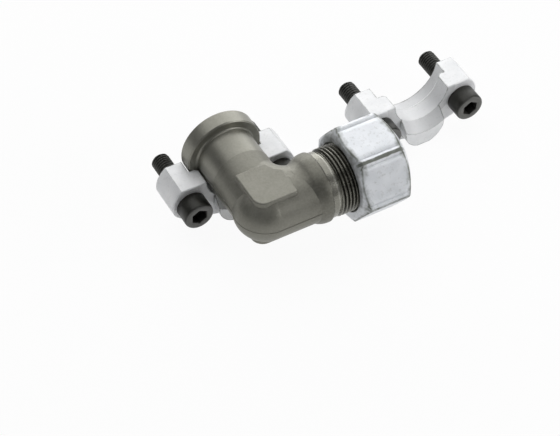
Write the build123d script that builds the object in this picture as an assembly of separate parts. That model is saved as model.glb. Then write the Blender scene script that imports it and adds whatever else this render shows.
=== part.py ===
from build123d import *
import math
import os

# Hydraulic 90 degree elbow: split flange head on one leg, tube union with nut on the other.
# Frame: origin at the centre of the flange's sealing face, +Y out of the flange, +X along the
# tube leg, +Z up. Both flange halves stand loose on their flat backs, the near one under the
# neck with its shoulder against the flange head and the far one beside the nut. Millimetres.

# Elbow: distances from the crossing of the two leg axes
flange_leg = 51.3
tube_leg = 60.0
flow_radius = 9.5

# Flange head and neck, 3/4 inch high pressure series
head_radius = 20.64
head_thickness = 8.76
head_edge = 0.6
neck_radius = 15.875
neck_length = 17.5
neck_fillet = 1.2

# Face seal
groove_outer_radius = 15.93
groove_width = 4.3
groove_depth = 2.45
seal_section = 3.53
seal_clearance = 0.05

# Forged bend
flange_leg_radius = 16.1
bend_radius = 16.4
leg_height = 15.3
bend_offset = 0.9
ball_lap = 0.05
pad_height = 15.2
pad_outer = 10.1
pad_corner = 6.5
pad_tube_end = 12.8
pad_flange_end = 14.3
pad_inner = 9.5
pad_inner_end = 7.0
pad_round = 1.5
pad_edge = 1.0
pad_runout = 10.0
inner_blend = 5.0
web_inset = 0.3
web_sink = 0.1
parting_ridge = 0.2
parting_width = 0.9

# Forged collar, machined band and undercut before the thread
collar_radius = 18.6
collar_rise = 11.5
collar_land = 1.3
collar_end = 28.8
collar_edge = 0.8
collar_step = 0.6
band_radius = 17.5
band_length = 2.9
undercut_radius = 16.3
undercut_width = 1.5

# Tube end M36 x 2 with 24 degree cone for a 25 mm tube; the thread stands at its root here
thread_root_radius = 16.77
thread_pitch = 2.0
thread_lead_in = 1.2
cone_mouth_radius = 13.95
cone_half_angle = 12.0
tube_radius = 12.5
tube_clearance = 0.1
tube_stop_depth = 12.0

# Cutting ring
ring_nose_depth = 5.0
ring_shoulder_gap = 0.4
ring_collar_radius = 15.6
ring_collar_width = 2.1
ring_back_radius = 13.4
ring_fit = 0.05

# Union nut and its travel from where it stands to the seated ring
nut_flats = 46.0
nut_length = 31.0
nut_clocking = 3.4
nut_edge = 2.2
nut_mouth_chamfer_radius = 21.9
nut_end_radius = 16.5
nut_chamfer_angle = 30.0
nut_thread_clearance = 0.1
nut_mouth_flare = 1.73
nut_tube_clearance = 0.3
nut_ring_gap = 0.1
nut_land = 5.5
turns_to_seat = 1.5

# Split flange halves
bolt_span = 50.8
bolt_row_gap = 23.8
half_back = 29.7
half_drop = 3.5
half_height = 25.0
ear_thickness = 19.0
ear_radius = 10.1
ear_shoulder_radius = 15.0
hub_radius = 12.0
hub_centre = 18.2
split_gap = 0.4
saddle_clearance = 0.375
pocket_clearance = 0.36
clamp_gap = 0.56
saddle_edge = 1.6
hub_flare = 4.3
half_edge = 0.8
half_back_edge = 0.3
screw_clearance = 0.5
far_half_x = 112.0
far_half_y = -0.6

# M10 x 35 socket head cap screws
screw_radius = 5.0
screw_thread_radius = 4.51
screw_shank = 19.5
screw_length = 35.0
screw_tip = 1.0
screw_head_radius = 8.0
screw_head_height = 10.0
screw_head_edge = 0.6
socket_flats = 8.0
socket_depth = 5.0

# Places worked out from the sizes above
crossing = Pos(0, -flange_leg, 0)
head_back = flange_leg - head_thickness
neck_start = head_back - neck_length
collar_crest = collar_end - collar_land
web_radius = leg_height - web_inset
cone_slope = math.tan(math.radians(cone_half_angle))
nut_travel = turns_to_seat * thread_pitch
pocket_depth = head_thickness - clamp_gap
saddle_radius = neck_radius + saddle_clearance
bolt_x = bolt_span / 2
bolt_z = -bolt_row_gap / 2
flat_end = (math.sqrt(hub_radius**2 - (half_back - hub_centre) ** 2), -half_back)


def turned(points, axis, rounds=()):
    """Solid of revolution of an (axial, radius) outline, with some of its corners rounded."""
    turn = (lambda point: point) if axis == Axis.X else (lambda point: point[::-1])
    section = make_face(Polyline(*map(turn, points), close=True))
    for corner, radius in rounds:
        vertex = section.vertices().sort_by_distance((*turn(corner), 0))[0]
        section = fillet(vertex, radius)
    return revolve(section, axis)


def bar(radius, start, end, axis):
    """Round bar along one leg's axis between two distances from the crossing."""
    return turned([(start, 0), (start, radius), (end, radius), (end, 0)], axis)


def rectangle(x_low, x_high, y_low, y_high):
    middle = Pos((x_low + x_high) / 2, (y_low + y_high) / 2)
    return middle * Rectangle(x_high - x_low, y_high - y_low)


def pad_outline():
    """Flat of the bend, with a wide round at the outer corner and small ones elsewhere."""
    outer = (-pad_outer, -pad_outer)
    corners = [
        outer,
        (pad_tube_end, -pad_outer),
        (pad_tube_end, pad_inner_end),
        (pad_inner, pad_inner),
        (pad_inner_end, pad_flange_end),
        (-pad_outer, pad_flange_end),
    ]
    outline = make_face(Polyline(*corners, close=True))
    by_distance = outline.vertices().sort_by_distance((*outer, 0))
    outline = fillet(by_distance[0], pad_corner)
    return fillet(outline.vertices().sort_by_distance((*outer, 0))[2:], pad_round)


def tube_bar():
    """Forged leg towards the tube, an ellipse that is lower than it is wide."""
    section = Plane.YZ * Pos(-bend_offset, 0) * Ellipse(bend_radius, leg_height)
    return Pos(-bend_offset, 0, 0) * extrude(section, collar_crest + bend_offset)


def flange_bar():
    """Forged leg towards the flange, which grows from an ellipse to a round beyond the pad."""
    low = Plane.XZ * Ellipse(flange_leg_radius, leg_height)
    round_end = Plane.XZ * Circle(flange_leg_radius)
    growth = loft([Pos(0, pad_flange_end, 0) * low, Pos(0, neck_start, 0) * round_end])
    return extrude(low, -pad_flange_end) + growth


def inner_web():
    """Quarter of a bent bar that rounds the inside corner between the legs."""
    turn_radius = web_radius + inner_blend
    web = revolve(Plane.YZ * Circle(web_radius), Axis((0, turn_radius, 0), (0, 0, -1)), 90)
    tube_plane = flange_leg_radius - web_radius - web_sink + turn_radius
    return Pos(tube_plane, bend_radius - bend_offset - web_radius - web_sink, 0) * web


def parting_line():
    """Thin ridge all round the bend in the plane of the two axes."""
    tube_reach = bend_radius + parting_ridge
    leg_reach = flange_leg_radius + parting_ridge
    outline = Pos(-bend_offset, -bend_offset) * Circle(tube_reach)
    outline += rectangle(0, collar_crest, -bend_offset - tube_reach, -bend_offset + tube_reach)
    outline += rectangle(-leg_reach, leg_reach, 0, neck_start)
    return extrude(outline, parting_width / 2, both=True)


def forged_bend():
    """Flattened ball and legs with a flat pad on both sides of the corner."""
    meridian = split(Plane.XZ * Ellipse(bend_radius + ball_lap, leg_height + ball_lap), Plane.YZ)
    ball = Pos(-bend_offset, -bend_offset, 0) * revolve(meridian, Axis.Z)
    bend = ball + tube_bar() + flange_bar() + inner_web()
    pad = pad_outline()
    block = extrude(pad, pad_height, both=True)
    block = fillet(block.faces().filter_by(Axis.Z).edges(), pad_edge)
    crest = Pos(0, 0, pad_height) * extrude(pad, bend_radius, taper=pad_runout - 90)
    return bend - crest - mirror(crest, Plane.XY) + block + parting_line()


def flange_end():
    outline = [
        (neck_start, 0),
        (neck_start, neck_radius),
        (head_back, neck_radius),
        (head_back, head_radius - head_edge),
        (head_back + head_edge, head_radius),
        (flange_leg - head_edge, head_radius),
        (flange_leg, head_radius - head_edge),
        (flange_leg, groove_outer_radius),
        (flange_leg - groove_depth, groove_outer_radius),
        (flange_leg - groove_depth, groove_outer_radius - groove_width),
        (flange_leg, groove_outer_radius - groove_width),
        (flange_leg, 0),
    ]
    return turned(outline, Axis.Y, [((head_back, neck_radius), neck_fillet)])


def tube_end():
    """Collar that flares out of the bend in two arcs, then the turned end for the nut."""
    crest = (collar_crest, collar_radius)
    foot = (collar_crest - collar_rise, leg_height)
    middle = ((foot[0] + crest[0]) / 2, (foot[1] + crest[1]) / 2)
    flare = [TangentArc(foot, middle, tangent=(1, 0)), TangentArc(crest, middle, tangent=(-1, 0))]
    rim = (collar_end, collar_radius)
    band_start = collar_end + collar_step
    band_end = band_start + band_length
    undercut_end = band_end + undercut_width
    outline = Polyline(
        crest,
        rim,
        (band_start, band_radius),
        (band_end, band_radius),
        (band_end, undercut_radius),
        (undercut_end, undercut_radius),
        (undercut_end, thread_root_radius),
        (tube_leg - thread_lead_in, thread_root_radius),
        (tube_leg, thread_root_radius - thread_lead_in),
        (tube_leg, 0),
        (foot[0], 0),
        foot,
    )
    section = make_face([outline, *flare])
    section = fillet(section.vertices().sort_by_distance((*rim, 0))[0], collar_edge)
    return revolve(section, Axis.X)


def elbow_body():
    socket_radius = tube_radius + tube_clearance
    cone_end = tube_leg - (cone_mouth_radius - socket_radius) / cone_slope
    tube_stop = tube_leg - tube_stop_depth
    passage = [
        (0, 0),
        (0, flow_radius),
        (tube_stop, flow_radius),
        (tube_stop, socket_radius),
        (cone_end, socket_radius),
        (tube_leg, cone_mouth_radius),
        (tube_leg, 0),
    ]
    body = forged_bend() + flange_end() + tube_end()
    body -= Sphere(flow_radius) + bar(flow_radius, 0, flange_leg, Axis.Y)
    body -= turned(passage, Axis.X)
    return crossing * body


def flange_o_ring():
    section = seal_section / 2
    middle = groove_outer_radius - seal_clearance - section
    ring = Torus(middle, section)
    return Pos(0, section + seal_clearance - groove_depth, 0) * Rot(90, 0, 0) * ring


def cutting_ring():
    """Ring drawn where it seats on the cone, then set back by the nut's travel."""
    bore = tube_radius + tube_clearance
    nose = tube_leg - ring_nose_depth
    shoulder = tube_leg + ring_shoulder_gap
    back_start = shoulder + ring_collar_width
    back_end = back_start + ring_collar_radius - ring_back_radius
    cone_at_nose = cone_mouth_radius - ring_nose_depth * cone_slope - ring_fit
    cone_at_mouth = cone_mouth_radius + ring_shoulder_gap * cone_slope - ring_fit
    outline = [
        (nose, bore),
        (nose, cone_at_nose),
        (shoulder, cone_at_mouth),
        (shoulder, ring_collar_radius),
        (back_start, ring_collar_radius),
        (back_end, ring_back_radius),
        (back_end, bore),
    ]
    return crossing * Pos(nut_travel, 0, 0) * turned(outline, Axis.X)


def union_nut():
    """Nut drawn against the seated ring's back cone, then set back by its travel."""
    thread_bore = thread_root_radius + nut_thread_clearance
    mouth_radius = thread_bore + nut_mouth_flare
    tube_bore = tube_radius + nut_tube_clearance
    back_start = tube_leg + ring_shoulder_gap + ring_collar_width
    cone_offset = nut_ring_gap * math.sqrt(2)
    cone_start = back_start + ring_collar_radius + cone_offset - thread_bore
    cone_end = cone_start + thread_bore - tube_bore
    end = cone_end + nut_land
    mouth = end - nut_length
    corner_radius = nut_flats / math.sqrt(3)
    slope = math.tan(math.radians(nut_chamfer_angle))
    blank = [
        (mouth, 0),
        (mouth, nut_mouth_chamfer_radius),
        (mouth + (corner_radius - nut_mouth_chamfer_radius) * slope, corner_radius),
        (end - (corner_radius - nut_end_radius) * slope, corner_radius),
        (end, nut_end_radius),
        (end, 0),
    ]
    bore = [
        (mouth, 0),
        (mouth, mouth_radius),
        (mouth + nut_mouth_flare, thread_bore),
        (cone_start, thread_bore),
        (cone_end, tube_bore),
        (end, tube_bore),
        (end, 0),
    ]
    hexagon = RegularPolygon(corner_radius, 6, rotation=nut_clocking)
    hexagon = fillet(hexagon.vertices(), nut_edge)
    prism = extrude(Plane.YZ * hexagon, end)
    nut = (prism & turned(blank, Axis.X)) - turned(bore, Axis.X)
    return crossing * Pos(nut_travel, 0, 0) * nut


def arc_from(centre, radius, start, end):
    """Edge of a circle between two of its points, the short way round."""
    first = math.degrees(math.atan2(start[1] - centre[1], start[0] - centre[0]))
    last = math.degrees(math.atan2(end[1] - centre[1], end[0] - centre[0]))
    return CenterArc(centre, radius, first, (last - first + 180) % 360 - 180)


def with_mirror(right):
    """Face inside a chain of edges and its mirror image across the YZ plane."""
    left = [mirror(edge, Plane.YZ) for edge in right]
    return make_face(right + left)


def half_outline():
    """Ears, shoulders and hub of a flange half, seen along the flange axis."""
    ear = (bolt_x, bolt_z)
    hub = (0, -hub_centre)
    ear_end = (bolt_x + ear_radius, bolt_z)
    shoulder = (ear_end[0] - ear_shoulder_radius, bolt_z)
    split_reach = math.sqrt(ear_shoulder_radius**2 - (bolt_z + split_gap) ** 2)
    split_end = (shoulder[0] + split_reach, -split_gap)
    rise = math.atan2(bolt_z + hub_centre, bolt_x)
    lean = rise - math.acos((hub_radius - ear_radius) / math.hypot(bolt_x, bolt_z + hub_centre))
    ear_low = (ear[0] + ear_radius * math.cos(lean), ear[1] + ear_radius * math.sin(lean))
    hub_side = (hub_radius * math.cos(lean), hub_radius * math.sin(lean) - hub_centre)
    right = [
        Line((0, -split_gap), split_end),
        arc_from(shoulder, ear_shoulder_radius, split_end, ear_end),
        arc_from(ear, ear_radius, ear_end, ear_low),
        Line(ear_low, hub_side),
        arc_from(hub, hub_radius, hub_side, flat_end),
        Line(flat_end, (0, -half_back)),
    ]
    return with_mirror(right)


def hub_outline():
    """Rounded block that stands out in front of the ears, between the screw heads."""
    side = (hub_radius, -hub_centre)
    top = (hub_radius, -hub_radius)
    right = [
        Line((0, -hub_radius), top),
        Line(top, side),
        arc_from((0, -hub_centre), hub_radius, side, flat_end),
        Line(flat_end, (0, -half_back)),
    ]
    return with_mirror(right)


def flange_half():
    """One clamp half with its flange side in the XZ plane and its hub towards -Y."""
    plate = extrude(Plane.XZ * half_outline(), ear_thickness)
    plate = fillet(plate.faces().sort_by(Axis.Y)[0].edges(), half_edge)
    plate = chamfer(plate.faces().sort_by(Axis.Y)[-1].edges(), half_back_edge)
    half = plate + extrude(Plane.XZ * hub_outline(), half_height)
    pocket_radius = head_radius + pocket_clearance
    bore = [
        (0, 0),
        (0, pocket_radius),
        (-pocket_depth, pocket_radius),
        (-pocket_depth, saddle_radius + saddle_edge),
        (-pocket_depth - saddle_edge, saddle_radius),
        (-ear_thickness, saddle_radius),
        (-half_height, saddle_radius + hub_flare),
        (-half_height, 0),
    ]
    half -= turned(bore, Axis.Y)
    for side in (1, -1):
        hole = Pos(side * bolt_x, bolt_z) * Circle(screw_radius + screw_clearance)
        half -= extrude(Plane.XZ * hole, ear_thickness)
    return half


def cap_screw():
    """Screw with its seat under the head at the origin and its thread towards +Y."""
    outline = [
        (-screw_head_height, 0),
        (-screw_head_height, screw_head_radius - screw_head_edge),
        (-screw_head_height + screw_head_edge, screw_head_radius),
        (0, screw_head_radius),
        (0, screw_radius),
        (screw_shank, screw_radius),
        (screw_shank, screw_thread_radius),
        (screw_length - screw_tip, screw_thread_radius),
        (screw_length, screw_thread_radius - screw_tip),
        (screw_length, 0),
    ]
    hexagon = RegularPolygon(socket_flats / 2, 6, major_radius=False)
    socket = extrude(Plane.XZ * hexagon, -socket_depth)
    return turned(outline, Axis.Y) - Pos(0, -screw_head_height, 0) * socket


def write(shape, name):
    export_step(shape, f"parts/{name}.step")


def main():
    os.makedirs("parts", exist_ok=True)
    write(elbow_body(), "elbow_body")
    write(flange_o_ring(), "flange_o_ring")
    write(cutting_ring(), "cutting_ring")
    write(union_nut(), "union_nut")
    near_place = Pos(0, -clamp_gap, -half_drop)
    far_place = Pos(far_half_x, far_half_y, -half_drop)
    places = {"near": near_place, "far": far_place}
    for half_name, place in places.items():
        write(place * flange_half(), f"flange_half_{half_name}")
        for side_name, side in (("left", -1), ("right", 1)):
            seat = place * Pos(side * bolt_x, -ear_thickness, bolt_z)
            write(seat * cap_screw(), f"cap_screw_{half_name}_{side_name}")


main()
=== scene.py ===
import math

import bmesh
import bpy
from mathutils import Matrix, Vector


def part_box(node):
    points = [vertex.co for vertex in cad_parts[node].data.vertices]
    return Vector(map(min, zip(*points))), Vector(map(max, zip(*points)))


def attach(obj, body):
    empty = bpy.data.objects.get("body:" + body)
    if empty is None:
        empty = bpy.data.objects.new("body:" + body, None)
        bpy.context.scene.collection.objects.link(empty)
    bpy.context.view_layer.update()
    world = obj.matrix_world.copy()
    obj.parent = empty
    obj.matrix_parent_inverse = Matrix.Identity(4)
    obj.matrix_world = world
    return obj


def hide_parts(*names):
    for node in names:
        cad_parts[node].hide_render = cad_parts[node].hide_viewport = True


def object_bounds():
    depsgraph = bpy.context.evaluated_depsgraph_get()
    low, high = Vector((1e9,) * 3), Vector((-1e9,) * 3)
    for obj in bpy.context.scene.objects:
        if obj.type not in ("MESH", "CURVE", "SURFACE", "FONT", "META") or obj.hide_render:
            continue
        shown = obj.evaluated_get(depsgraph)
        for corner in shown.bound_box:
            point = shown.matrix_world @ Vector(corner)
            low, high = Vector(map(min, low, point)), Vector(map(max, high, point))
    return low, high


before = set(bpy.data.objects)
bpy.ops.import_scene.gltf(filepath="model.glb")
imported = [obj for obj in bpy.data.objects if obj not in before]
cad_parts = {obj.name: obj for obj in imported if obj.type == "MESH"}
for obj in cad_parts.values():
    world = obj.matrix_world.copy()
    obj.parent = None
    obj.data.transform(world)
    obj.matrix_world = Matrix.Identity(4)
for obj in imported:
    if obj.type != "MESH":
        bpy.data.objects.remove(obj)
cad_low, cad_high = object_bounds()
MM = 0.001

# Sizes in millimetres, as in the solids
FLANGE_LEG = 51.3
TUBE_LEG = 60.0
NECK_START = 25.04
COLLAR_END = 28.8
RELIEF_START, RELIEF_END = 32.2, 33.9

# Bores of the two flange halves, each as x, z and radius, and the depth below the split where they start
HALF_BORES = ((0.0, -3.5, 21.2), (112.0, -3.5, 21.2))
SPLIT_DEPTH = 0.5


# Materials


class Nodes:
    """Short helpers for the nodes of one tree."""

    def __init__(self, tree):
        self.tree = tree

    def node(self, kind, values=(), **settings):
        made = self.tree.nodes.new(kind)
        for key, value in settings.items():
            setattr(made, key, value)
        for socket, value in dict(values).items():
            self.fill(made.inputs[socket], value)
        return made

    def fill(self, socket, value):
        """Links an output to the socket, or sets a plain value on it."""
        if isinstance(value, bpy.types.NodeSocket):
            self.tree.links.new(value, socket)
        else:
            socket.default_value = value

    def coordinates(self):
        return self.node("ShaderNodeTexCoord").outputs["Object"]

    def axes(self, vector):
        return self.node("ShaderNodeSeparateXYZ", {"Vector": vector}).outputs

    def rays(self):
        return self.node("ShaderNodeLightPath").outputs

    def wear_and_painted_light(self):
        return self.node("ShaderNodeAttribute", attribute_name="wear_and_painted_light").outputs["Fac"]

    def edges(self, radius):
        """Share of an outer edge within the radius: how far the rounded normal leaves the true one."""
        rounded = self.node("ShaderNodeBevel", {"Radius": radius}, samples=8).outputs["Normal"]
        true = self.node("ShaderNodeNewGeometry").outputs["Normal"]
        along = self.vector("DOT_PRODUCT", rounded, true).outputs["Value"]
        flat, edge = 0.995, 0.9
        return self.remap(along, flat, edge, 0.0, 0.9)

    def noise(self, vector, scale, detail=4.0, roughness=0.55):
        values = {"Vector": vector, "Scale": scale, "Detail": detail, "Roughness": roughness}
        return self.node("ShaderNodeTexNoise", values).outputs["Fac"]

    def ramp(self, factor, stops):
        made = self.node("ShaderNodeValToRGB", {"Fac": factor})
        for element, (position, colour) in zip(made.color_ramp.elements, stops, strict=True):
            element.position = position
            element.color = (*colour, 1.0)
        return made.outputs["Color"]

    def math(self, operation, first, second=0.0, third=0.0):
        values = {0: first, 1: second, 2: third}
        return self.node("ShaderNodeMath", values, operation=operation).outputs[0]

    def vector(self, operation, first, second):
        return self.node("ShaderNodeVectorMath", {0: first, 1: second}, operation=operation)

    def remap(self, value, low, high, to_low, to_high):
        values = {"Value": value, 1: low, 2: high, 3: to_low, 4: to_high}
        return self.node("ShaderNodeMapRange", values).outputs["Result"]

    def mix(self, factor, first, second):
        """Blend of two colours, each an output or three numbers."""
        made = self.node("ShaderNodeMix", {"Factor": factor}, data_type="RGBA")
        colour_inputs, colour_output = made.inputs[6:8], made.outputs[2]
        for socket, value in zip(colour_inputs, (first, second)):
            plain = not isinstance(value, bpy.types.NodeSocket)
            self.fill(socket, (*value, 1.0) if plain else value)
        return colour_output

    def bump(self, height, strength, distance):
        values = {"Height": height, "Strength": strength, "Distance": distance}
        return self.node("ShaderNodeBump", values).outputs["Normal"]


class Shader(Nodes):
    """A new material with its principled shader."""

    def __init__(self, name):
        self.material = bpy.data.materials.new(name)
        self.material.use_nodes = True
        super().__init__(self.material.node_tree)
        self.principled = self.tree.nodes["Principled BSDF"]

    def set(self, **sockets):
        for name, value in sockets.items():
            self.fill(self.principled.inputs[name.replace("_", " ")], value)
        return self.material


def phosphated_steel():
    """Grey brown forging, turned smooth on the neck and the flange head and bright on the tube end.

    It has painted shade towards the collar, and is lighter in the relief as turned metal with painted
    light against its shade. It has a painted shadow line at the collar's step and painted shade in the
    thread's grooves.
    """
    # Painted shade along the tube leg, growing towards the collar.
    scale = (0.09, 0.088, 0.070)
    # Turned metal in the relief, lightened by painted light against its shade.
    bare_and_painted_light = (0.38, 0.375, 0.335)
    # Painted shadow line at the collar's step.
    step = (0.05, 0.049, 0.040)
    dust = (0.31, 0.306, 0.272)
    # Painted shade in the thread's grooves.
    painted_groove_shade = (0.030, 0.029, 0.022)
    shade_start, shade_end = 8.0, 25.0
    collar_shadow_reach = 0.4
    s = Shader("phosphated_steel")
    place = s.coordinates()
    axes = s.axes(place)
    on_neck = s.math("GREATER_THAN", axes["Y"], (NECK_START - FLANGE_LEG) * MM)
    on_tube_end = s.math("GREATER_THAN", axes["X"], COLLAR_END * MM)
    relief_middle = (RELIEF_START + RELIEF_END) / 2
    relief_reach = (RELIEF_END - RELIEF_START) / 2
    in_relief = s.math("COMPARE", axes["X"], relief_middle * MM, relief_reach * MM)
    at_collar_shadow = s.math("COMPARE", axes["X"], COLLAR_END * MM, collar_shadow_reach * MM)
    cloudy = s.noise(place, 140.0, 6.0, 0.65)
    speckled = s.noise(place, 900.0, 3.0, 0.6)

    forged = s.ramp(cloudy, [(0.3, (0.182, 0.178, 0.150)), (0.7, (0.240, 0.236, 0.202))])
    smooth_skin = s.ramp(cloudy, [(0.3, (0.208, 0.204, 0.174)), (0.7, (0.262, 0.258, 0.222))])
    cut = s.ramp(cloudy, [(0.3, (0.190, 0.186, 0.158)), (0.7, (0.245, 0.241, 0.208))])
    shaded_forging = s.mix(s.remap(axes["X"], shade_start * MM, shade_end * MM, 0.0, 0.5), forged, scale)
    colour = s.mix(on_tube_end, s.mix(on_neck, shaded_forging, smooth_skin), cut)
    colour = s.mix(in_relief, colour, bare_and_painted_light)
    colour = s.mix(s.math("MULTIPLY", at_collar_shadow, 0.6), colour, step)
    colour = s.mix(s.remap(speckled, 0.35, 0.7, 0.0, 0.3), colour, dust)
    colour = s.mix(s.wear_and_painted_light(), colour, painted_groove_shade)

    waves = {"Vector": place, "Scale": 420.0, "Distortion": 0.6}
    lines = s.node("ShaderNodeTexWave", waves, bands_direction="Y").outputs["Fac"]
    turned = s.math("MAXIMUM", on_neck, on_tube_end)
    tool_marks = s.math("MULTIPLY", lines, s.math("MULTIPLY", turned, 0.25))
    normal = s.bump(s.math("ADD", tool_marks, speckled), 0.4, 0.0001)

    matt = s.remap(cloudy, 0.3, 0.7, 0.43, 0.53)
    smoother = s.math("MULTIPLY_ADD", on_neck, 0.09, s.math("MULTIPLY", on_tube_end, 0.21))
    rough = s.math("SUBTRACT", matt, smoother)
    return s.set(Base_Color=colour, Metallic=0.7, Roughness=rough, Normal=normal)


def plated_steel(name, dull, bright, metallic, roughness, grain, depth, flecks, edging=0.0, bores=()):
    """Zinc on steel: a clouded pale metal with a fine uneven skin, with painted shade in bores along Y.

    Edging is how much outer edges darken of themselves, beside the tones that a mesh gives.
    """
    # Grey of the painted shade in the bores.
    bore_shade = (0.58, 0.585, 0.59)
    fleck = (0.40, 0.41, 0.40)
    # Dark of scuffs and of the painted shadow given with a mesh.
    worn_and_shaded = (0.12, 0.13, 0.10)
    edge_reach = 1.4
    s = Shader(name)
    place = s.coordinates()
    height = s.axes(place)["Z"]
    across = s.vector("MULTIPLY", place, (1.0, 0.0, 1.0)).outputs["Vector"]
    cloudy = s.noise(place, 120.0, 5.0, 0.6)
    skin = s.noise(place, grain, 3.0, 0.5)
    blotched = s.noise(place, 480.0, 6.0, 0.7)
    wander = s.noise(place, 220.0, 4.0, 0.6)

    colour = s.ramp(cloudy, [(0.3, dull), (0.65, bright)])
    # Painted shade on the bores' faces below the split.
    for x, z, radius in bores:
        reach = s.vector("DISTANCE", across, (x * MM, 0.0, z * MM)).outputs["Value"]
        below = s.math("LESS_THAN", height, (z - SPLIT_DEPTH) * MM)
        inside = s.math("MULTIPLY", s.math("LESS_THAN", reach, radius * MM), below)
        colour = s.mix(s.math("MULTIPLY", inside, 0.45), colour, bore_shade)
    colour = s.mix(s.remap(blotched, 0.52, 0.72, 0.0, flecks), colour, fleck)

    wear_and_painted_light = s.wear_and_painted_light()
    if edging:
        wear_and_painted_light = s.math("MAXIMUM", wear_and_painted_light, s.math("MULTIPLY", s.edges(edge_reach * MM), edging))
    uneven = s.math("ADD", wear_and_painted_light, s.remap(wander, 0.3, 0.7, -0.25, 0.25))
    wear_and_shade = s.remap(uneven, 0.25, 0.85, 0.0, 0.9)
    colour = s.mix(wear_and_shade, colour, worn_and_shaded)
    plain_rough = s.remap(skin, 0.3, 0.7, roughness - 0.06, roughness + 0.08)
    rough = s.math("MULTIPLY_ADD", wear_and_shade, 0.25, plain_rough)
    return s.set(Base_Color=colour, Metallic=metallic, Roughness=rough, Normal=s.bump(skin, 0.3, depth))


def black_oxide_steel():
    """Oiled black steel, greyer where rubbed, and with a painted highlight in the socket."""
    s = Shader("black_oxide_steel")
    place = s.coordinates()
    cloudy = s.noise(place, 260.0, 4.0, 0.6)
    grain = s.noise(place, 1400.0, 2.0, 0.5)
    black = s.ramp(cloudy, [(0.3, (0.014, 0.014, 0.011)), (0.7, (0.034, 0.034, 0.028))])
    colour = s.mix(s.wear_and_painted_light(), black, (0.16, 0.16, 0.15))
    rough = s.remap(cloudy, 0.3, 0.7, 0.34, 0.5)
    return s.set(Base_Color=colour, Metallic=0.35, Roughness=rough, Normal=s.bump(grain, 0.2, 0.00006))


def seal_rubber():
    s = Shader("seal_rubber")
    cloudy = s.noise(s.coordinates(), 300.0)
    colour = s.ramp(cloudy, [(0.3, (0.012, 0.012, 0.012)), (0.7, (0.026, 0.026, 0.026))])
    return s.set(Base_Color=colour, Roughness=0.55)


phosphate = phosphated_steel()
zinc = plated_steel("zinc_steel", dull=(0.83, 0.84, 0.85), bright=(0.95, 0.955, 0.96), metallic=0.15,
                    roughness=0.42, grain=700.0, depth=0.00008, flecks=0.3, edging=0.65, bores=HALF_BORES)
galvanised = plated_steel("galvanised_steel", dull=(0.71, 0.735, 0.765), bright=(0.85, 0.87, 0.90),
                          metallic=0.3, roughness=0.40, grain=420.0, depth=0.00018, flecks=0.6)
bright_steel = plated_steel("bright_steel", dull=(0.48, 0.48, 0.48), bright=(0.60, 0.60, 0.61),
                            metallic=0.9, roughness=0.3, grain=900.0, depth=0.00004, flecks=0.1)
black_oxide = black_oxide_steel()
rubber = seal_rubber()


# Meshes on a polar grid, in millimetres

WELD = 0.002


def polar_mesh(name, rows, material, tones):
    """Closed skin through rows of points; each row goes once round an axis, and a row of one is a pole.

    The last row may be the first again. Tones give each point's share of scuffs, painted shade and painted
    highlight.
    """
    points, starts = [], []
    for row in rows:
        starts.append(len(points))
        points.extend(row)
    faces = []
    for row, after, start, then in zip(rows, rows[1:], starts, starts[1:]):
        count = max(len(row), len(after))
        for i in range(count):
            j = (i + 1) % count
            if len(row) == 1:
                faces.append((start, then + j, then + i))
            elif len(after) == 1:
                faces.append((start + i, start + j, then))
            else:
                faces.append((start + i, start + j, then + j, then + i))
    mesh = bpy.data.meshes.new(name)
    mesh.from_pydata([Vector(point) * MM for point in points], [], faces)
    mesh.materials.append(material)
    wear_and_painted_light = mesh.attributes.new("wear_and_painted_light", "FLOAT", "POINT")
    wear_and_painted_light.data.foreach_set("value", [tone for row in tones for tone in row])
    weld(mesh)
    made = bpy.data.objects.new(name, mesh)
    bpy.context.scene.collection.objects.link(made)
    return made


def weld(mesh):
    """Joins points that lie on one another and drops faces with no area."""
    work = bmesh.new()
    work.from_mesh(mesh)
    bmesh.ops.remove_doubles(work, verts=work.verts, dist=WELD * MM)
    bmesh.ops.dissolve_degenerate(work, edges=work.edges, dist=WELD * MM)
    bmesh.ops.recalc_face_normals(work, faces=work.faces)
    work.to_mesh(mesh)
    work.free()
    mesh.validate()


def smooth(piece, angle):
    """Smooth shading, with edges sharper than the angle kept."""
    for other in bpy.context.selected_objects:
        other.select_set(False)
    bpy.context.view_layer.objects.active = piece
    piece.select_set(True)
    bpy.ops.object.shade_smooth_by_angle(angle=math.radians(angle))
    piece.select_set(False)


def even_angles(count):
    return [2 * math.pi * i / count for i in range(count)]


def helix(start, end, pitch, depths, angles):
    """Rows of (axial, depth) pairs along a right-hand thread, clamped at its ends; depths span a pitch."""
    steps = len(depths)
    turns = math.ceil((end - start) / pitch) + 1
    rows = []
    for step in range(-steps, turns * steps + 1):
        row = []
        for angle in angles:
            axial = start + pitch * (step / steps + angle / (2 * math.pi))
            row.append((min(max(axial, start), end), depths[step % steps]))
        rows.append(row)
    return rows


# Thread on the tube end

THREAD_START = 34.0
THREAD_END = TUBE_LEG - 0.3
THREAD_CREST = 17.95
THREAD_ROOT = 16.72
THREAD_HIDDEN = 16.2
THREAD_PITCH = 2.0
THREAD_ENTRY = math.radians(90)
THREAD_RUN_OUT = 1.5
THREAD_CHAMFER = 0.8
THREAD_TIP = THREAD_ROOT + 0.05


def around_x(axial, radius, angle):
    """A point round the axis of the tube leg."""
    return (axial, radius * math.cos(angle) - FLANGE_LEG, radius * math.sin(angle))


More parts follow.
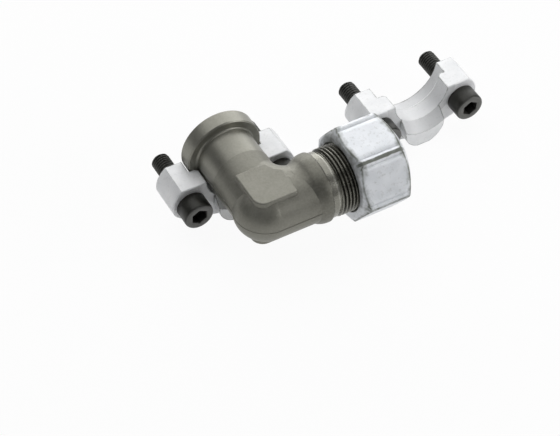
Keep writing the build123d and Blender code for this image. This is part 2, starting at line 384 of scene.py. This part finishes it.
def tube_thread():
    """The thread as a sleeve on the plain tube end, run out at its start and chamfered at its end."""
    angles = even_angles(144)
    depths = [0.0, 0.12, 0.42, 0.72, 1.0, 1.0, 0.72, 0.42, 0.12]
    rows, tones = [], []
    for row in helix(THREAD_START, THREAD_END, THREAD_PITCH, depths, angles):
        points = []
        for angle, (axial, depth) in zip(angles, row):
            full = THREAD_ROOT + depth * (THREAD_CREST - THREAD_ROOT)
            chamfer = THREAD_TIP + (THREAD_END - axial) * THREAD_CHAMFER
            run_out = THREAD_ROOT + (axial - THREAD_START) * THREAD_RUN_OUT
            points.append(around_x(axial, min(full, chamfer, run_out), angle - THREAD_ENTRY))
        rows.append(points)
        # Painted shade in the grooves: full at the root, none at the crest.
        tones.append([min(1.0, 2.4 * (1.0 - depth)) for axial, depth in row])
    first = [around_x(THREAD_START, THREAD_HIDDEN, angle - THREAD_ENTRY) for angle in angles]
    last = [around_x(THREAD_END, THREAD_HIDDEN, angle - THREAD_ENTRY) for angle in angles]
    plain = [0.0] * len(angles)
    rows = [first, *rows, last, first]
    tones = [plain, *tones, plain, plain]
    piece = polar_mesh("tube_thread", rows, phosphate, tones)
    smooth(piece, 40)
    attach(piece, "fitting")


# Union nut

NUT_LOW, NUT_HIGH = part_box("union_nut")
NUT_MOUTH = NUT_LOW.x / MM
NUT_END = NUT_HIGH.x / MM
NUT_HALF_FLATS = 23.0
NUT_CLOCKING = math.radians(3.4)
NUT_CHAMFER = math.tan(math.radians(30))
NUT_MOUTH_FACE = 21.9
NUT_END_FACE = 16.5
NUT_THREAD_BORE = 18.1
NUT_SEAT = 16.87
NUT_TUBE_BORE = 12.8
NUT_COLLAR = 5.5
NUT_CORNER_ROUND = 2.2

# Wear at the corners: its reach and fade in degrees, and the share that each corner has
NUT_CORNER_REACH = 2.8
NUT_CORNER_FADE = 1.4
NUT_CORNER_WEAR = (0.7, 0.3, 1.0, 0.7, 0.5, 0.8)


def hexagon_radius(angle, half_flats, rounding):
    """Distance from the centre to a hexagon with rounded corners; a corner points along angle 0."""
    sector = math.radians(60)
    from_flat = (angle % sector) - sector / 2
    flat = half_flats / math.cos(from_flat)
    centre = (half_flats - rounding) / math.cos(sector / 2)
    from_corner = sector / 2 - abs(from_flat)
    inside = rounding**2 - (centre * math.sin(from_corner)) ** 2
    if inside <= 0:
        return flat
    return min(flat, centre * math.cos(from_corner) + math.sqrt(inside))


def corner_wear(offset):
    """Wear beside a corner: full along its middle, with a soft edge on both sides."""
    return min(1.0, max(0.0, (NUT_CORNER_REACH - offset) / NUT_CORNER_FADE))


def nut_angles():
    """Angles round the nut, closer together at its corners, with the wear that each one's corner has."""
    beside = [0.0, 0.5, 1.0, 1.5, 1.9, 2.4, 2.8, 3.2, 3.7, 5.0, 8.0, 12.0, 16.0, 20.0, 25.0]
    around = sorted({*beside, 30.0, *(-offset for offset in beside)})
    return [(math.radians(60 * corner + offset), share * corner_wear(abs(offset)))
            for corner, share in enumerate(NUT_CORNER_WEAR) for offset in around]


def union_nut():
    """Skin of the nut from the thread's bore round the mouth, the flats and the end to the cone's seat."""
    angles = nut_angles()
    rows, tones = [], []

    def turned(axial, radius, wear_and_painted_light, upper_dark=0.0):
        """A round row; the last number darkens its upper side further."""
        rows.append([around_x(axial, radius, angle + NUT_CLOCKING) for angle, corner in angles])
        tones.append([max(wear_and_painted_light + upper_dark * math.sin(angle), 0.0) for angle, corner in angles])

    def on_flats(face, inward, face_radius, back, along, wear_and_painted_light):
        """A row on the hexagon near an end face; along goes inward from the edge of its chamfer."""
        row = []
        for angle, corner in angles:
            outer = hexagon_radius(angle, NUT_HALF_FLATS, NUT_CORNER_ROUND)
            axial = face + inward * ((outer - face_radius) * NUT_CHAMFER + along)
            row.append(around_x(axial, outer - back, angle + NUT_CLOCKING))
        rows.append(row)
        tones.append([max(wear_and_painted_light, corner) for angle, corner in angles])

    cone_end = NUT_END - NUT_COLLAR - (NUT_SEAT - NUT_TUBE_BORE)
    thread_end = cone_end - 1.0
    # The bore and the mouth's inner edge: painted shadow of the gap, and oily unplated metal.
    turned(thread_end, NUT_THREAD_BORE, 1.0)
    turned(NUT_MOUTH + 0.5, NUT_THREAD_BORE, 1.0)
    turned(NUT_MOUTH + 0.1, NUT_THREAD_BORE + 0.4, 1.0)
    turned(NUT_MOUTH, NUT_THREAD_BORE + 0.6, 0.9)
    turned(NUT_MOUTH, NUT_THREAD_BORE + 1.1, 0.35, 0.25)
    turned(NUT_MOUTH, NUT_MOUTH_FACE - 0.3, 0.25, 0.3)
    turned(NUT_MOUTH + 0.12, NUT_MOUTH_FACE + 0.2, 0.25, 0.3)
    for back, along, wear_and_painted_light in ((0.75, -0.4, 0.4), (0.28, -0.05, 0.7), (0.05, 0.35, 0.8), (0.0, 0.9, 0.5),
                              (0.0, 2.4, 0.35), (0.0, 4.0, 0.0)):
        on_flats(NUT_MOUTH, 1, NUT_MOUTH_FACE, back, along, wear_and_painted_light)
    for back, along, wear_and_painted_light in ((0.0, 3.4, 0.0), (0.0, 2.2, 0.3), (0.0, 1.0, 0.45), (0.05, 0.4, 0.8),
                              (0.3, -0.05, 0.7), (0.8, -0.45, 0.4)):
        on_flats(NUT_END, -1, NUT_END_FACE, back, along, wear_and_painted_light)
    turned(NUT_END - 0.25, NUT_END_FACE + 0.45, 0.2)
    turned(NUT_END - 0.06, NUT_END_FACE, 0.2)
    turned(NUT_END, NUT_END_FACE - 0.5, 0.1)
    turned(NUT_END, NUT_TUBE_BORE + 0.5, 0.1)
    turned(NUT_END - 0.15, NUT_TUBE_BORE + 0.15, 0.3)
    turned(NUT_END - 0.5, NUT_TUBE_BORE, 0.3)
    turned(NUT_END - NUT_COLLAR, NUT_TUBE_BORE, 0.3)
    turned(cone_end, NUT_SEAT, 0.5)
    turned(thread_end, NUT_SEAT, 0.5)
    rows.append(rows[0])
    tones.append(tones[0])
    piece = polar_mesh("nut_skin", rows, galvanised, tones)
    smooth(piece, 35)
    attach(piece, "nut")
    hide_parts("union_nut")


# Socket head cap screws

SCREW_LENGTH = 35.0
SCREW_HEAD = 10.0
SCREW_HEAD_RADIUS = 8.0
SCREW_SHANK_RADIUS = 5.0
SCREW_THREAD_START = 3.2
SCREW_CREST = 4.97
SCREW_ROOT = 4.15
SCREW_TIP = 3.9
SCREW_PITCH = 1.5
SOCKET_HALF_FLATS = 4.0
SOCKET_DEPTH = 5.0
SOCKET_POINT = 1.2


def cap_screw(node):
    """Skin of one screw, from the socket's floor round the head and along the thread to the tip."""
    low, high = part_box(node)
    middle = (low + high) / 2 / MM
    seat = low.y / MM + SCREW_HEAD
    angles = even_angles(96)
    rows, tones = [], []

    def point(axial, radius, angle):
        return (middle.x + radius * math.sin(angle), seat + axial, middle.z + radius * math.cos(angle))

    def ring(axial, radius, wear_and_painted_light=0.0):
        rows.append([point(axial, radius, angle) for angle in angles])
        tones.append([wear_and_painted_light] * len(angles))

    def pole(axial):
        rows.append([point(axial, 0.0, 0.0)])
        tones.append([0.0])

    def socket(axial, wear_and_painted_light):
        radii = [hexagon_radius(angle, SOCKET_HALF_FLATS, 0.0) for angle in angles]
        rows.append([point(axial, radius, angle) for radius, angle in zip(radii, angles)])
        tones.append([wear_and_painted_light] * len(angles))

    top = -SCREW_HEAD
    pole(top + SOCKET_DEPTH + SOCKET_POINT)
    # The socket's walls turn lighter towards the top: painted highlight.
    socket(top + SOCKET_DEPTH, 0.0)
    socket(top + 0.3, 0.35)
    ring(top, SOCKET_HALF_FLATS + 0.9, 0.65)
    ring(top, SCREW_HEAD_RADIUS - 1.3, 0.6)
    ring(top + 0.12, SCREW_HEAD_RADIUS - 0.75, 0.75)
    ring(top + 0.45, SCREW_HEAD_RADIUS - 0.3, 0.25)
    ring(top + 1.0, SCREW_HEAD_RADIUS - 0.05)
    ring(top + 1.5, SCREW_HEAD_RADIUS)
    ring(-0.35, SCREW_HEAD_RADIUS)
    ring(-0.1, SCREW_HEAD_RADIUS - 0.1)
    ring(0.0, SCREW_HEAD_RADIUS - 0.4)
    ring(0.0, SCREW_SHANK_RADIUS + 0.3)
    ring(0.3, SCREW_SHANK_RADIUS)
    ring(SCREW_THREAD_START - 0.6, SCREW_SHANK_RADIUS)
    depths = [0.0, 0.0, 0.5, 1.0, 1.0, 0.5]
    for row in helix(SCREW_THREAD_START, SCREW_LENGTH - 0.4, SCREW_PITCH, depths, angles):
        points = []
        for angle, (axial, depth) in zip(angles, row):
            full = SCREW_ROOT + depth * (SCREW_CREST - SCREW_ROOT)
            chamfer = SCREW_TIP + SCREW_LENGTH - axial
            points.append(point(axial, min(full, chamfer), angle))
        rows.append(points)
        tones.append([0.3 * depth for axial, depth in row])
    ring(SCREW_LENGTH, SCREW_TIP)
    pole(SCREW_LENGTH)
    piece = polar_mesh(node + "_detail", rows, black_oxide, tones)
    smooth(piece, 35)
    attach(piece, "fitting")
    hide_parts(node)


tube_thread()
union_nut()
for half in ("near", "far"):
    for side in ("left", "right"):
        cap_screw(f"cap_screw_{half}_{side}")

finishes = {"elbow_body": phosphate, "flange_o_ring": rubber, "cutting_ring": bright_steel,
            "flange_half_near": zinc, "flange_half_far": zinc, "union_nut": galvanised}
for name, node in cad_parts.items():
    node.data.materials.clear()
    node.data.materials.append(finishes.get(name, black_oxide))


# Floor, light and camera, in metres

WHITE = (1.0, 1.0, 1.0)
PALE = (0.9, 0.9, 0.9)
ROOM = (0.12, 0.122, 0.125)
FLOOR_REACH = 6.0
FLOOR_WHITE = 0.94
BACKDROP = Vector((0.45, 0.95, 0.32))
BACKDROP_RIM, BACKDROP_FULL = 0.75, 0.95


def floor():
    """A pale floor that looks white to the camera and in reflections, and keeps a faint shadow."""
    s = Shader("floor")
    s.tree.nodes.remove(s.principled)
    rays = s.rays()
    reflected = s.math("MAXIMUM", rays["Is Glossy Ray"], rays["Is Transmission Ray"])
    seen = s.math("MAXIMUM", rays["Is Camera Ray"], reflected)
    plain = s.node("ShaderNodeBsdfDiffuse", {"Color": (*PALE, 1.0)}).outputs[0]
    white = s.node("ShaderNodeEmission", {"Color": (*WHITE, 1.0), "Strength": 1.0}).outputs[0]
    share = s.math("MULTIPLY", seen, FLOOR_WHITE)
    blend = s.node("ShaderNodeMixShader", {0: share, 1: plain, 2: white}).outputs[0]
    s.fill(s.tree.nodes["Material Output"].inputs["Surface"], blend)
    mesh = bpy.data.meshes.new("floor")
    signs = ((-1, -1), (1, -1), (1, 1), (-1, 1))
    corners = [(x * FLOOR_REACH, y * FLOOR_REACH, cad_low.z) for x, y in signs]
    mesh.from_pydata(corners, [], [(0, 1, 2, 3)])
    mesh.materials.append(s.material)
    made = bpy.data.objects.new("floor", mesh)
    bpy.context.scene.collection.objects.link(made)


def softbox(name, place, target, size, power):
    data = bpy.data.lights.new(name, "AREA")
    data.shape = "RECTANGLE"
    data.size, data.size_y = size
    data.energy = power
    made = bpy.data.objects.new(name, data)
    made.location = place
    made.rotation_euler = (Vector(target) - Vector(place)).to_track_quat("-Z", "Y").to_euler()
    bpy.context.scene.collection.objects.link(made)


def surroundings():
    """A dim room, with a white backdrop behind the object that only reflections show."""
    world = bpy.data.worlds.new("studio")
    bpy.context.scene.world = world
    world.use_nodes = True
    s = Nodes(world.node_tree)
    direction = s.node("ShaderNodeTexCoord").outputs["Generated"]
    along = s.vector("DOT_PRODUCT", direction, BACKDROP.normalized()).outputs["Value"]
    behind = s.remap(along, BACKDROP_RIM, BACKDROP_FULL, 0.0, 1.0)
    share = s.math("MULTIPLY", behind, s.rays()["Is Glossy Ray"])
    s.fill(s.tree.nodes["Background"].inputs["Color"], s.mix(share, ROOM, WHITE))


def camera():
    """The photo's view, fitted to it with the sizes of the part."""
    place = Vector((-0.29404, -0.55524, 0.65763))
    right = Vector((0.870412, -0.491786, 0.023032))
    up = Vector((0.356683, 0.662157, 0.659033))
    data = bpy.data.cameras.new("camera")
    data.sensor_width = 36.0
    data.lens = 114.438
    data.clip_end = 50.0
    made = bpy.data.objects.new("camera", data)
    turn = Matrix((right, up, right.cross(up))).transposed().to_4x4()
    made.matrix_world = Matrix.Translation(place) @ turn
    bpy.context.scene.collection.objects.link(made)
    bpy.context.scene.camera = made


floor()
softbox("overhead", place=(0.1, 0.25, 0.95), target=(0.05, -0.02, 0.0), size=(1.6, 1.2), power=7.6)
softbox("right", place=(0.80, -0.70, 0.42), target=(0.05, -0.03, 0.0), size=(0.6, 0.5), power=4.2)
softbox("backdrop", place=BACKDROP, target=(0.05, 0.0, 0.0), size=(1.6, 0.7), power=7.0)
surroundings()
camera()
bpy.context.scene.view_settings.view_transform = "Standard"
